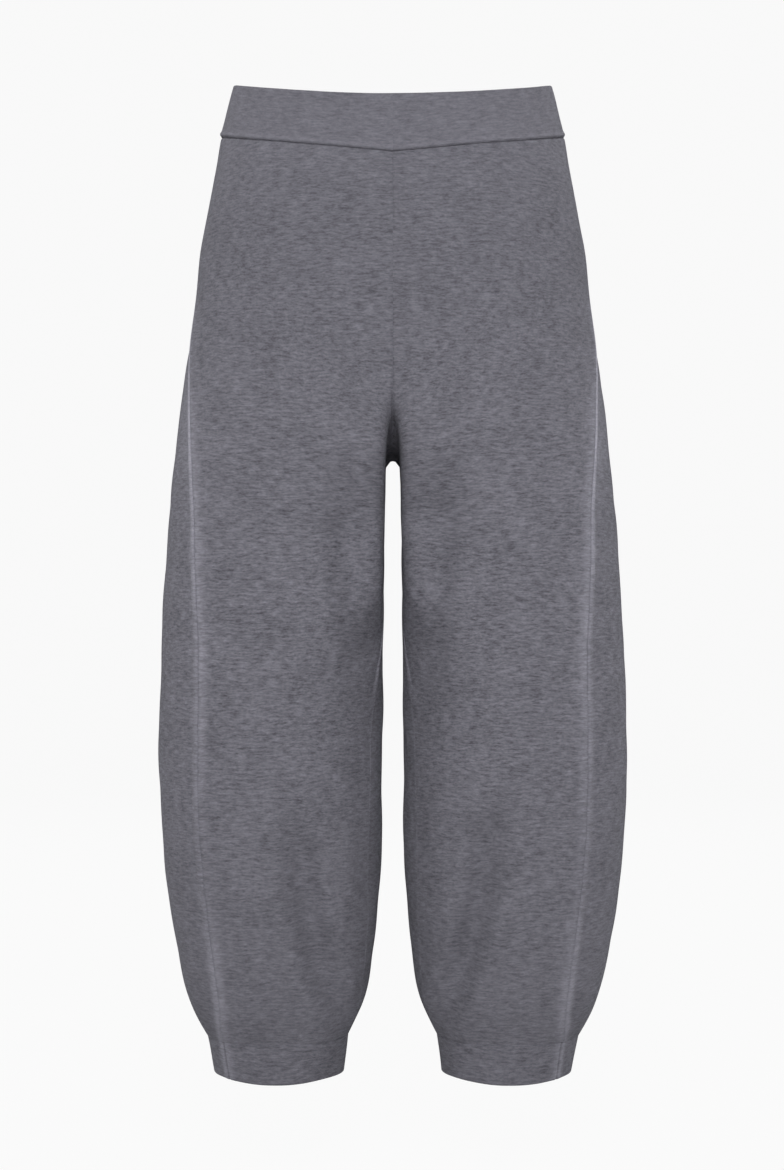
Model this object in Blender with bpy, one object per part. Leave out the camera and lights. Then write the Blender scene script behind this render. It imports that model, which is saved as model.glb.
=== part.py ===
"""Barrel leg trousers in a fine plain knit, hollow and filled out as if they were worn.

Metres, +Z up. The origin is the middle of the waist, level with the waistband's top edge at the
side. +X is the wearer's left and -Y is the front. Heights are drops below the waist.

The outer face is one form that is cut level at a few heights: two leg tubes, and between them the
seat, which ends below in the U of the crotch seam. Each panel is a patch of that form between two
seams, with a wall of even thickness inside it.
"""

import math

import bmesh
import bpy
import numpy as np

KNIT_THICKNESS = 0.002
BAND_THICKNESS = 0.0036
CUFF_THICKNESS = 0.003
SEAM_GAP = 0.0003

# Linear red, green and blue of the grey melange; the doubled cuffs look darker.
KNIT_COLOUR = (0.153, 0.150, 0.175)
BAND_COLOUR = (0.159, 0.156, 0.181)
CUFF_COLOUR = (0.125, 0.122, 0.144)

# The trousers cut level at a few drops. outer and inner are a leg's far and near reach from the
# middle, front and back its reach each way, and flat is how far out the front runs before it turns
# to the side. corner is how square the leg's inner corners are (2 is an ellipse). outseam and
# inseam are how far the seams swing to the front of the leg's sides, in degrees.
SECTION_COLUMNS = (
    "drop", "outer", "inner", "front", "back", "flat", "corner", "outseam", "inseam",
)
SECTIONS = (
    (-0.020, 0.1440, -0.0600, 0.1030, 0.1055, 0.0000, 4.6, 0.0, 0.0),
    (0.050, 0.1623, -0.0500, 0.1125, 0.1180, 0.0000, 4.6, 2.0, 0.0),
    (0.100, 0.1716, -0.0400, 0.1185, 0.1285, 0.0040, 4.6, 5.5, 0.0),
    (0.160, 0.1817, -0.0270, 0.1230, 0.1380, 0.0170, 4.6, 11.5, 0.0),
    (0.220, 0.1885, -0.0150, 0.1250, 0.1420, 0.0400, 5.5, 20.5, 0.0),
    (0.275, 0.1966, -0.0055, 0.1250, 0.1400, 0.0620, 8.5, 32.0, 0.0),
    (0.330, 0.2036, 0.0032, 0.1230, 0.1330, 0.0800, 12.0, 43.5, 0.0),
    (0.358, 0.2066, 0.0064, 0.1212, 0.1287, 0.0872, 13.0, 47.3, 0.0),
    (0.390, 0.2098, 0.0078, 0.1190, 0.1240, 0.0930, 13.5, 50.5, 4.0),
    (0.460, 0.2153, 0.0092, 0.1135, 0.1150, 0.1030, 11.0, 53.8, 12.0),
    (0.505, 0.2179, 0.0096, 0.1105, 0.1112, 0.1074, 5.0, 55.3, 16.0),
    (0.550, 0.2200, 0.0099, 0.1080, 0.1080, 0.1110, 2.5, 56.3, 20.0),
    (0.640, 0.2220, 0.0105, 0.1040, 0.1040, 0.1150, 2.0, 55.5, 26.0),
    (0.720, 0.2184, 0.0110, 0.0995, 0.0995, 0.1145, 2.0, 54.8, 27.0),
    (0.790, 0.2101, 0.0146, 0.0920, 0.0925, 0.1130, 2.0, 54.8, 24.0),
    (0.840, 0.2013, 0.0210, 0.0835, 0.0845, 0.1115, 2.0, 54.6, 20.0),
    (0.875, 0.1902, 0.0290, 0.0745, 0.0760, 0.1102, 2.1, 51.3, 15.0),
    (0.9015, 0.1762, 0.0421, 0.0640, 0.0660, 0.1092, 2.2, 44.8, 12.0),
)
FRONT_ROUNDNESS = 2.4
BACK_ROUNDNESS = 2.2

# The crotch seam, seen from the side, is a U between the legs.
CROTCH_DROP = 0.357
U_TOP_DROP = 0.262
U_FRONT = 0.1275
U_BACK = 0.1430
U_ROUNDNESS = 2.2
SEAT_EASING = 0.010
CROTCH_EASING = 0.005

# The waistband's edges dip at the front and rise a little at the back. They come up to the side by
# this power, and a vee sharpens the lower edge's dip.
BAND_TOP = {"side": 0.0, "front": 0.0265, "back": -0.0080}
BAND_BOTTOM = {"side": 0.0490, "front": 0.0805, "back": 0.0430}
RISE_POWER = 0.6
BAND_BOTTOM_VEE = {"front": 0.5, "back": 0.0}
BAND_PROUD = 0.0008
# How far up the band each of its rows of points lies.
BAND_HEIGHTS = (0.0, 0.5, 1.0)

# The cuffs close in from the leg's foot to the hem, which reaches so far out and each way, and
# hangs a little lower at the front and the back than at its sides.
HEM_DROP = 0.9374
HEM_OUTER = 0.1701
HEM_INNER = 0.0467
HEM_REACH = {"front": 0.0575, "back": 0.0590}
HEM_DIP = 0.0034
HEM_DIP_ROUNDNESS = 5.5
# The hem's outline is a little flattened at its two sides.
HEM_FLATTENING = 0.25
# How far down the cuff each of its rows of points lies.
CUFF_SHARES = (1.0, 0.5, 0.0)
CUFF_TURNS = 28

# The largest folds, soft troughs in the cloth: which face of which side they lie on, where they
# start and end (out from the middle, and down), how far they bow sideways on the way, how wide
# they are to each side, and how deep.
FOLD_COLUMNS = (
    "face", "side", "out", "drop", "end_out", "end_drop", "bow", "width", "depth",
)
FOLDS = (
    ("front", "left", 0.092, 0.712, 0.047, 0.880, 0.006, 0.014, 0.0070),
    ("front", "right", 0.091, 0.716, 0.048, 0.882, 0.007, 0.014, 0.0068),
    ("back", "left", 0.040, 0.330, 0.120, 0.405, -0.012, 0.018, 0.0034),
    ("back", "right", 0.037, 0.335, 0.126, 0.398, -0.014, 0.018, 0.0031),
    ("back", "left", 0.110, 0.640, 0.074, 0.870, 0.008, 0.020, 0.0032),
    ("back", "right", 0.114, 0.625, 0.071, 0.865, 0.010, 0.020, 0.0030),
)
# At a tuck the cloth steps down on the side toward the middle, by the depth and over the width,
# and comes back over the reach.
TUCK_COLUMNS = FOLD_COLUMNS + ("reach",)
TUCKS = (
    ("front", "left", 0.058, 0.392, 0.042, 0.535, 0.002, 0.0085, 0.0140, 0.060),
    ("front", "right", 0.057, 0.387, 0.041, 0.540, 0.002, 0.0085, 0.0140, 0.060),
    ("front", "left", 0.090, 0.725, 0.047, 0.880, 0.007, 0.0110, 0.0140, 0.024),
    ("front", "right", 0.089, 0.730, 0.048, 0.882, 0.007, 0.0110, 0.0135, 0.025),
)
# Past a tuck's ends the cloth comes back over this length.
TUCK_END = 0.030

FRONT_COLUMNS = 14
BACK_COLUMNS = 18
LEG_ROWS = 13
CROTCH_ROWS = 7
HIP_ROWS = 6
# A leg's rows of points lie closer at the hem, where its outline curves most.
HEM_CLOSENESS = 1.3
# The rows on the U end this many degrees before its top, where it runs straight up.
U_LAST_ANGLE = 8
# Rows of points leave the crotch seam squarely, so they drop this much on their way outward,
# over this share of the panel's width.
ROW_DROP = 0.085
LEAN_REACH = 0.6

SIDES = {"left": 1.0, "right": -1.0}
# Edges that turn by more degrees than this are shaded sharp.
SHARP_ANGLE = 50
# A search for the outer face starts inside it, ends at a point this far away, and is halved so
# many times.
WELL_OUTSIDE = 0.3
HALVINGS = 36
# Lengths too short to matter, which keep divisions off zero.
TINY = 1e-9
SHORT_STEP = 1e-5


def smooth_curve(places, values):
    """A natural cubic spline through a table's column, as a function of the place."""
    places = np.array(places)
    values = np.array(values)
    step = np.diff(places)
    count = len(places)
    matrix = np.eye(count)
    bends = np.zeros(count)
    for i in range(1, count - 1):
        matrix[i, i - 1 : i + 2] = step[i - 1], 2 * (step[i - 1] + step[i]), step[i]
        rise = (values[i + 1] - values[i]) / step[i]
        rise_before = (values[i] - values[i - 1]) / step[i - 1]
        bends[i] = 6 * (rise - rise_before)
    bends = np.linalg.solve(matrix, bends)

    def at(place):
        place = np.clip(place, places[0], places[-1])
        i = np.clip(np.searchsorted(places, place) - 1, 0, count - 2)
        before = (places[i + 1] - place) / step[i]
        after = 1 - before
        eased = (before**3 - before) * bends[i] + (after**3 - after) * bends[i + 1]
        return before * values[i] + after * values[i + 1] + eased * step[i] ** 2 / 6

    return at


def table_curves(columns, rows):
    """A smooth curve over the drop for each named column of a table."""
    drops = [row[0] for row in rows]
    return {
        name: smooth_curve(drops, [row[i] for row in rows])
        for i, name in enumerate(columns)
        if i > 0
    }


LEG = table_curves(SECTION_COLUMNS, SECTIONS)


def past_oval(across, along, half_width, half_length, roundness):
    """How far a point lies past a rounded oval, measured from the oval's middle."""
    across = np.abs(across)
    along = np.abs(along) + TINY
    share = (across / half_width) ** roundness + (along / half_length) ** roundness
    return np.hypot(across, along) * (1 - share ** (-1 / roundness))


def eased_lower(a, b, easing):
    """The lower of two distances, rounded off where they are within the easing of each other."""
    near = np.maximum(1 - np.abs(a - b) / easing, 0)
    return np.minimum(a, b) - near**2 * easing / 4


def past_form(x, y, drop):
    """How far a point lies outside the trousers' outer face; less than 0 inside."""
    x = np.abs(x)
    flat = LEG["flat"](drop)
    outer = LEG["outer"](drop) - flat
    inner = flat - LEG["inner"](drop)
    reach = np.where(y < 0, LEG["front"](drop), LEG["back"](drop))
    roundness = np.where(y < 0, FRONT_ROUNDNESS, BACK_ROUNDNESS)
    seat = past_oval(np.maximum(x - flat, 0), y, outer, reach, roundness)
    inner_side = past_oval(x - flat, y, inner, reach, LEG["corner"](drop))
    leg = np.where(x < flat, inner_side, seat)

    u_reach = np.where(y < 0, U_FRONT, U_BACK)
    below = np.maximum(drop - U_TOP_DROP, 0)
    u = past_oval(y, below, u_reach, CROTCH_DROP - U_TOP_DROP, U_ROUNDNESS)
    seat_in_u = -eased_lower(-seat, -u, SEAT_EASING)
    inward = np.maximum(1 - (x / np.maximum(flat, TINY)) ** 2, 0)
    return eased_lower(leg, seat_in_u, CROTCH_EASING * inward + SHORT_STEP)


def crossing(inside, outside, past):
    """Halves the stretch from inside to outside until it holds only where past changes sign."""
    for _ in range(HALVINGS):
        middle = (inside + outside) / 2
        beyond = past(middle) > 0
        outside = np.where(beyond, middle, outside)
        inside = np.where(beyond, inside, middle)
    return (inside + outside) / 2


def leg_axis(drop):
    """How far out from the middle the line runs that a leg's turns are counted about."""
    return (LEG["outer"](drop) + np.maximum(LEG["inner"](drop), 0)) / 2


def form_point(turn, drop):
    """The outer face at a turn about the leg's axis: 0 inward, 90 front, 180 outward, 270 back."""
    turn = np.radians(turn)
    axis = leg_axis(drop)
    to_middle = axis / np.maximum(np.cos(turn), TINY)
    reach = crossing(
        np.zeros_like(turn),
        np.minimum(to_middle, WELL_OUTSIDE),
        lambda r: past_form(axis - r * np.cos(turn), -r * np.sin(turn), drop),
    )
    return np.stack([axis - reach * np.cos(turn), -reach * np.sin(turn), -drop], axis=-1)


def outward(points):
    """The outer face's direction at each point, from how the form's distance grows."""
    small = SHORT_STEP
    x, y, drop = points[..., 0], points[..., 1], -points[..., 2]
    grown = np.stack(
        [
            past_form(x + small, y, drop) - past_form(x - small, y, drop),
            past_form(x, y + small, drop) - past_form(x, y - small, drop),
            past_form(x, y, drop - small) - past_form(x, y, drop + small),
        ],
        axis=-1,
    )
    return grown / np.linalg.norm(grown, axis=-1, keepdims=True)


CROTCH_END = float(
    crossing(
        np.array(U_TOP_DROP),
        np.array(CROTCH_DROP + CROTCH_EASING),
        lambda drop: past_form(np.array(SEAM_GAP / 2), np.array(0.0), drop),
    )
)


def inner_turn(drop, facing):
    """The turn of a panel's inner edge: the centre seam above the crotch, the inseam below it.

    facing is -1 for the front panel and 1 for the back panel.
    """
    seam = crossing(
        np.zeros_like(drop),
        np.full_like(drop, WELL_OUTSIDE),
        lambda reach: past_form(np.full_like(drop, SEAM_GAP / 2), facing * reach, drop),
    )
    half_gap = np.degrees(SEAM_GAP / 2 / leg_axis(drop))
    centre = np.degrees(np.arctan2(seam, leg_axis(drop) - SEAM_GAP / 2))
    if facing > 0:
        return 360 + np.where(drop < CROTCH_END, -centre, LEG["inseam"](drop) - half_gap)
    return np.where(drop < CROTCH_END, centre, LEG["inseam"](drop) + half_gap)


def outer_turn(drop, facing):
    """The turn of a panel's outer edge, beside the outseam."""
    half_gap = np.degrees(SEAM_GAP / 2 / leg_axis(drop))
    return 180 - LEG["outseam"](drop) + facing * half_gap


def edge_rows(facing):
    """The drop of each row of a panel at its inner and its outer edge, from the hem upward."""
    name = "front" if facing < 0 else "back"
    leg_end = SECTIONS[-1][0]
    share = np.linspace(0, 1, LEG_ROWS + 1)
    closer_at_hem = share**HEM_CLOSENESS
    leg_inner = leg_end + (CROTCH_END - leg_end) * closer_at_hem
    crotch_outer = CROTCH_END + ROW_DROP
    leg_outer = leg_end + (crotch_outer - leg_end) * closer_at_hem

    angle = np.radians(np.linspace(90, U_LAST_ANGLE, CROTCH_ROWS + 1)[1:])
    u_height = CROTCH_END - U_TOP_DROP
    crotch_inner = U_TOP_DROP + u_height * np.sin(angle) ** (2 / U_ROUNDNESS)
    band_side = BAND_BOTTOM["side"] + SEAM_GAP
    band_centre = BAND_BOTTOM[name] + SEAM_GAP
    hip_inner = np.linspace(crotch_inner[-1], band_centre, HIP_ROWS + 1)[1:]
    rest_outer = np.linspace(crotch_outer, band_side, CROTCH_ROWS + HIP_ROWS + 1)[1:]
    inner = np.concatenate([leg_inner, crotch_inner, hip_inner])
    return inner, np.concatenate([leg_outer, rest_outer])


def risen_share(shares, facing, vee=0.0):
    """How far an edge that dips at the centre has come to the side's height, column by column."""
    drop = np.full_like(shares, BAND_BOTTOM["side"])
    inner = inner_turn(drop, facing)
    turns = inner + (outer_turn(drop, facing) - inner) * shares
    out = form_point(turns, drop)[..., 0]
    out = np.minimum((out - out[0]) / (out[-1] - out[0]), 1)
    return 1 - (1 - out**2) ** RISE_POWER + vee * out * (1 - out)


def bell(distance, width):
    """A soft rise of height 1 that fades out past the width."""
    return np.exp(-((distance / width) ** 2))


def fold_place(points, fold):
    """How far each point is off a fold's bowed line, and how far past the line's ends."""
    start = np.array([fold["out"], -fold["drop"]])
    along = np.array([fold["end_out"], -fold["end_drop"]]) - start
    length = np.linalg.norm(along)
    sideways = np.array([-along[1], along[0]]) / length
    offset = points[..., [0, 2]] - start
    share = offset @ along / length**2
    inside = np.clip(share, 0, 1)
    across = offset @ sideways - fold["bow"] * np.sin(np.pi * inside)
    return across, (share - inside) * length


def folds_of(columns, table, face, side):
    """The rows of a table of folds that lie on one panel."""
    rows = [dict(zip(columns, row)) for row in table]
    return [row for row in rows if row["face"] == face and row["side"] == side]


def fold_depth(points, way, face, side):
    """How deep the large folds press the cloth in at each point of a panel.

    They fade where the cloth turns to face sideways.
    """
    depth = np.zeros(points.shape[:-1])
    for fold in folds_of(FOLD_COLUMNS, FOLDS, face, side):
        across, past_end = fold_place(points, fold)
        depth += fold["depth"] * bell(np.hypot(across, past_end), fold["width"])
    for fold in folds_of(TUCK_COLUMNS, TUCKS, face, side):
        across, past_end = fold_place(points, fold)
        step = 0.5 - 0.5 * np.tanh(across / fold["width"])
        coming_back = bell(np.minimum(across, 0), fold["reach"]) * bell(past_end, TUCK_END)
        depth += fold["depth"] * step * coming_back
    return depth * np.abs(way[..., 1])


def add_wall(name, outer, inner, closed, colour):
    """A closed wall between an outer and an inner grid of points; closed joins its last column."""
    bm = bmesh.new()
    rows, columns = outer.shape[:2]
    faces = [[bm.verts.new(p) for p in grid.reshape(-1, 3)] for grid in (outer, inner)]

    def quad(sheet, row, column):
        following = (column + 1) % columns
        corners = ((row, column), (row, following), (row + 1, following), (row + 1, column))
        return [faces[sheet][r * columns + c] for r, c in corners]

    last = columns if closed else columns - 1
    for row in range(rows - 1):
        for column in range(last):
            bm.faces.new(quad(0, row, column))
            bm.faces.new(quad(1, row, column)[::-1])
    open_edges = [edge for edge in bm.edges if edge.is_boundary]
    bm.verts.index_update()
    count = rows * columns
    for edge in open_edges:
        a, b = edge.verts
        if a.index < count:
            bm.faces.new((b, a, faces[1][a.index], faces[1][b.index]))
    bmesh.ops.triangulate(bm, faces=bm.faces, quad_method="SHORT_EDGE")
    bmesh.ops.recalc_face_normals(bm, faces=bm.faces)

    mesh = bpy.data.meshes.new(name)
    bm.to_mesh(mesh)
    bm.free()
    mesh.shade_smooth()
    mesh.set_sharp_from_angle(angle=math.radians(SHARP_ANGLE))
    mesh.materials.append(knit_material(name, colour))
    wall = bpy.data.objects.new(name, mesh)
    bpy.context.scene.collection.objects.link(wall)
    return wall


def knit_material(name, colour):
    """Matt mid grey knit; the colour is given as linear red, green and blue."""
    material = bpy.data.materials.new(name + "_knit")
    material.use_nodes = True
    shader = material.node_tree.nodes["Principled BSDF"]
    shader.inputs["Base Color"].default_value = (*colour, 1)
    shader.inputs["Roughness"].default_value = 0.9
    shader.inputs["Metallic"].default_value = 0.0
    return material


def mirrored(points, side):
    return points * np.array([SIDES[side], 1, 1])


def add_panel(face, side):
    """One leg panel, from its inner edge to the outseam and from the cuff to the waistband.

    The folds stop short of both edges, so that neighbouring panels meet.
    """
    facing = -1 if face == "front" else 1
    columns = FRONT_COLUMNS if face == "front" else BACK_COLUMNS
    shares = np.linspace(0, 1, columns + 1)
    inner_rows, outer_rows = edge_rows(facing)
    lean_at_band = risen_share(shares, facing, BAND_BOTTOM_VEE[face])
    lean_at_leg = np.minimum(shares / LEAN_REACH, 1)
    up = (CROTCH_END - inner_rows) / (CROTCH_END - inner_rows[-1])
    up = np.clip(up, 0, 1)[:, None]
    lean = lean_at_leg[None, :] * (1 - up) + lean_at_band[None, :] * up
    drop = inner_rows[:, None] * (1 - lean) + outer_rows[:, None] * lean
    turn = inner_turn(inner_rows, facing)[:, None]
    turn = turn + (outer_turn(drop, facing) - turn) * shares[None, :]
    skin = form_point(turn, drop)
    way = outward(skin)
    centre = (shares[None, :] == 0) & (drop < CROTCH_END)
    way[..., 0] = np.where(centre, 0, way[..., 0])
    way /= np.linalg.norm(way, axis=-1, keepdims=True)
    depth = fold_depth(skin, way, face, side)
    depth[:, [0, -1]] = 0
    skin = skin - way * depth[..., None]
    lining = skin - way * KNIT_THICKNESS
    name = f"{face}_{side}"
    add_wall(name, mirrored(skin, side), mirrored(lining, side), False, KNIT_COLOUR)


def band_quarter(face, heights, shares):
    """The skin's points under one quarter of the waistband, from the centre to the side."""
    facing = -1 if face == "front" else 1
    bottom_lean = risen_share(shares, facing, BAND_BOTTOM_VEE[face])
    bottom = BAND_BOTTOM[face] + (BAND_BOTTOM["side"] - BAND_BOTTOM[face]) * bottom_lean
    top = BAND_TOP[face] + (BAND_TOP["side"] - BAND_TOP[face]) * risen_share(shares, facing)
    drop = bottom[None, :] + (top - bottom)[None, :] * np.array(heights)[:, None]
    inner = inner_turn(drop, facing)
    return form_point(inner + (outer_turn(drop, facing) - inner) * shares, drop)


def add_waistband():
    """The doubled band, one ring with its seam at the centre back."""
    front = band_quarter("front", BAND_HEIGHTS, np.linspace(0, 1, FRONT_COLUMNS + 1))
    back = band_quarter("back", BAND_HEIGHTS, np.linspace(0, 1, BACK_COLUMNS + 1))
    front[:, 0, 0] = 0
    back[:, 0, 0] = 0
    left = np.concatenate([front[:, :-1], back[:, ::-1]], axis=1)
    right = mirrored(left[:, 1:-1][:, ::-1], "right")
    skin = np.concatenate([left, right], axis=1)
    way = outward(skin)
    skin = skin + way * BAND_PROUD
    add_wall("waistband", skin, skin - way * BAND_THICKNESS, True, BAND_COLOUR)


def cuff_row(turns, share):
    """The cuff's outer face: 0 along the leg's foot and 1 along the hem."""
    foot = form_point(turns, np.full_like(turns, SECTIONS[-1][0]))
    foot_outer, foot_inner = foot[..., 0].max(), foot[..., 0].min()
    foot_middle = (foot_outer + foot_inner) / 2
    narrowing = (HEM_OUTER - HEM_INNER) / (foot_outer - foot_inner)
    in_front = foot[..., 1] < 0
    forward = np.where(in_front, -foot[..., 1].min(), foot[..., 1].max())
    hem_reach = np.where(in_front, HEM_REACH["front"], HEM_REACH["back"])
    middle = foot_middle + ((HEM_OUTER + HEM_INNER) / 2 - foot_middle) * share
    x = middle + (foot[..., 0] - foot_middle) * (1 + (narrowing - 1) * share)
    front_share = np.abs(foot[..., 1]) / forward
    y = foot[..., 1] * (1 + (hem_reach / forward * front_share**HEM_FLATTENING - 1) * share)
    top_drop = SECTIONS[-1][0] + SEAM_GAP
    hem_drop = HEM_DROP + HEM_DIP * front_share**HEM_DIP_ROUNDNESS
    return np.stack([x, y, -top_drop - (hem_drop - top_drop) * share], axis=-1)


def add_cuff(side):
    """A doubled hem band, one ring with its seam at the inseam."""
    turns = np.linspace(0, 360, CUFF_TURNS + 1)[:-1]
    skin = np.array([cuff_row(turns, share) for share in CUFF_SHARES])
    middle = skin.mean(axis=1, keepdims=True)
    level_way = (skin - middle) * np.array([1, 1, 0])
    level_way /= np.linalg.norm(level_way, axis=-1, keepdims=True)
    inner_face = skin - level_way * CUFF_THICKNESS
    name = f"cuff_{side}"
    add_wall(name, mirrored(skin, side), mirrored(inner_face, side), True, CUFF_COLOUR)


for leftover in list(bpy.data.objects):
    bpy.data.objects.remove(leftover)

add_waistband()
for side_name in SIDES:
    add_panel("front", side_name)
    add_panel("back", side_name)
    add_cuff(side_name)
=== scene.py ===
import math
import bpy
import numpy as np
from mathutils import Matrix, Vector


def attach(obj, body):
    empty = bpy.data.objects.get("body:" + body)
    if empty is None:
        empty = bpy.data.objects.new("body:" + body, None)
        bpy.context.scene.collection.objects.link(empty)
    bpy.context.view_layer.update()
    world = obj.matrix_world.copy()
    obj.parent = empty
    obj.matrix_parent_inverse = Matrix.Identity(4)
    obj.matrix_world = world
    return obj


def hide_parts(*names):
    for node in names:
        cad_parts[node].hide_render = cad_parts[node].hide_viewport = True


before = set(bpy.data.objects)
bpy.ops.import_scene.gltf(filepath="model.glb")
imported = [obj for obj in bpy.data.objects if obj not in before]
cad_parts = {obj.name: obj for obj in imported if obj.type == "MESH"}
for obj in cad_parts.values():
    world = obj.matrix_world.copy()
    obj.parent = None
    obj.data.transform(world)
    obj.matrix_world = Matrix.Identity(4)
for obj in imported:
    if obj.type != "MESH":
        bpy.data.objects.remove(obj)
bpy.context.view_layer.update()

# ---------------------------------------------------------------------------------------------
# The four leg panels.
# Two fronts and two wider backs of one fine plain knit in grey melange yarn, knitted to shape and
# linked edge to edge. They are filled out as if worn, on one smooth form.

KNIT_THICKNESS = 0.002
SIDES = {"left": 1.0, "right": -1.0}

# The form, cut level at a few drops below the waist. Lengths are metres, and the front is at -Y.
# outer and inner are a leg's far and near reach from the middle, front and back its reach each
# way, flat how far out the front runs before it turns to the side, and corner how square the
# inner corners are. outseam and inseam are the seams' swing to the front, in degrees.
SECTION_COLUMNS = (
    "drop", "outer", "inner", "front", "back", "flat", "corner", "outseam", "inseam",
)
SECTIONS = (
    (-0.020, 0.1440, -0.0600, 0.1030, 0.1055, 0.0000, 4.6, 0.0, 0.0),
    (0.050, 0.1623, -0.0500, 0.1125, 0.1180, 0.0000, 4.6, 2.0, 0.0),
    (0.100, 0.1716, -0.0400, 0.1185, 0.1285, 0.0040, 4.6, 5.5, 0.0),
    (0.160, 0.1817, -0.0270, 0.1230, 0.1380, 0.0170, 4.6, 11.5, 0.0),
    (0.220, 0.1885, -0.0150, 0.1250, 0.1420, 0.0400, 5.5, 20.5, 0.0),
    (0.275, 0.1966, -0.0055, 0.1250, 0.1400, 0.0620, 8.5, 32.0, 0.0),
    (0.330, 0.2036, 0.0032, 0.1230, 0.1330, 0.0800, 12.0, 43.5, 0.0),
    (0.358, 0.2066, 0.0064, 0.1212, 0.1287, 0.0872, 13.0, 47.3, 0.0),
    (0.390, 0.2098, 0.0078, 0.1190, 0.1240, 0.0930, 13.5, 50.5, 4.0),
    (0.460, 0.2153, 0.0092, 0.1135, 0.1150, 0.1030, 11.0, 53.8, 12.0),
    (0.505, 0.2179, 0.0096, 0.1105, 0.1112, 0.1074, 5.0, 55.3, 16.0),
    (0.550, 0.2200, 0.0099, 0.1080, 0.1080, 0.1110, 2.5, 56.3, 20.0),
    (0.640, 0.2220, 0.0105, 0.1040, 0.1040, 0.1150, 2.0, 55.5, 26.0),
    (0.720, 0.2184, 0.0110, 0.0995, 0.0995, 0.1145, 2.0, 54.8, 27.0),
    (0.790, 0.2101, 0.0146, 0.0920, 0.0925, 0.1130, 2.0, 54.8, 24.0),
    (0.840, 0.2013, 0.0210, 0.0835, 0.0845, 0.1115, 2.0, 54.6, 20.0),
    (0.875, 0.1902, 0.0290, 0.0745, 0.0760, 0.1102, 2.1, 51.3, 15.0),
    (0.9015, 0.1762, 0.0421, 0.0640, 0.0660, 0.1092, 2.2, 44.8, 12.0),
)
FRONT_ROUNDNESS = 2.4
BACK_ROUNDNESS = 2.2

# The crotch seam, seen from the side, is a U between the legs.
CROTCH_DROP = 0.357
U_TOP_DROP = 0.262
U_FRONT = 0.1275
U_BACK = 0.1430
U_ROUNDNESS = 2.2
SEAT_EASING = 0.010
CROTCH_EASING = 0.005

# The waistband's lower edge dips at the front, and the panels end just inside it.
BAND_TOP = {"side": 0.0, "front": 0.0265, "back": -0.0080}
BAND_BOTTOM = {"side": 0.0490, "front": 0.0805, "back": 0.0430}
INSIDE_BAND = 0.0012
# An edge that dips at the centre rises to the side by this power, and a vee sharpens its dip.
RISE_POWER = 0.6
BAND_BOTTOM_VEE = {"front": 0.5, "back": 0.0}

# A search for the outer face is halved so many times, out to a point well outside it.
HALVINGS = 30
WELL_OUTSIDE = 0.3
TINY = 1e-9
SHORT_STEP = 1e-5


def smooth_curve(places, values):
    """A natural cubic spline through a table's column, as a function of the place."""
    places = np.array(places)
    values = np.array(values)
    step = np.diff(places)
    count = len(places)
    matrix = np.eye(count)
    bends = np.zeros(count)
    for i in range(1, count - 1):
        matrix[i, i - 1 : i + 2] = step[i - 1], 2 * (step[i - 1] + step[i]), step[i]
        rise = (values[i + 1] - values[i]) / step[i]
        rise_before = (values[i] - values[i - 1]) / step[i - 1]
        bends[i] = 6 * (rise - rise_before)
    bends = np.linalg.solve(matrix, bends)

    def at(place):
        place = np.clip(place, places[0], places[-1])
        i = np.clip(np.searchsorted(places, place) - 1, 0, count - 2)
        before = (places[i + 1] - place) / step[i]
        after = 1 - before
        eased = (before**3 - before) * bends[i] + (after**3 - after) * bends[i + 1]
        return before * values[i] + after * values[i + 1] + eased * step[i] ** 2 / 6

    return at


def table_curves(columns, rows):
    """A smooth curve over a table's first column for each of its other named columns."""
    places = [row[0] for row in rows]
    return {
        name: smooth_curve(places, [row[i] for row in rows])
        for i, name in enumerate(columns)
        if i > 0
    }


LEG = table_curves(SECTION_COLUMNS, SECTIONS)


def past_oval(across, along, half_width, half_length, roundness):
    """How far a point lies past a rounded oval, measured from the oval's middle."""
    across = np.abs(across)
    along = np.abs(along) + TINY
    share = (across / half_width) ** roundness + (along / half_length) ** roundness
    return np.hypot(across, along) * (1 - share ** (-1 / roundness))


def eased_lower(a, b, easing):
    """The lower of two distances, rounded off where they are within the easing of each other."""
    near = np.maximum(1 - np.abs(a - b) / easing, 0)
    return np.minimum(a, b) - near**2 * easing / 4


def past_form(x, y, drop):
    """How far a point lies outside the trousers' outer face; less than 0 inside."""
    x = np.abs(x)
    flat = LEG["flat"](drop)
    outer = LEG["outer"](drop) - flat
    inner = flat - LEG["inner"](drop)
    reach = np.where(y < 0, LEG["front"](drop), LEG["back"](drop))
    roundness = np.where(y < 0, FRONT_ROUNDNESS, BACK_ROUNDNESS)
    seat = past_oval(np.maximum(x - flat, 0), y, outer, reach, roundness)
    inner_side = past_oval(x - flat, y, inner, reach, LEG["corner"](drop))
    leg = np.where(x < flat, inner_side, seat)

    u_reach = np.where(y < 0, U_FRONT, U_BACK)
    below = np.maximum(drop - U_TOP_DROP, 0)
    u = past_oval(y, below, u_reach, CROTCH_DROP - U_TOP_DROP, U_ROUNDNESS)
    seat_in_u = -eased_lower(-seat, -u, SEAT_EASING)
    inward = np.maximum(1 - (x / np.maximum(flat, TINY)) ** 2, 0)
    return eased_lower(leg, seat_in_u, CROTCH_EASING * inward + SHORT_STEP)


def crossing(inside, outside, past):
    """Halves the stretch from inside to outside until it holds only where past changes sign."""
    for _ in range(HALVINGS):
        middle = (inside + outside) / 2
        beyond = past(middle) > 0
        outside = np.where(beyond, middle, outside)
        inside = np.where(beyond, inside, middle)
    return (inside + outside) / 2


def leg_axis(drop):
    """How far out from the middle the line runs that a leg's turns are counted about."""
    return (LEG["outer"](drop) + np.maximum(LEG["inner"](drop), 0)) / 2


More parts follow.
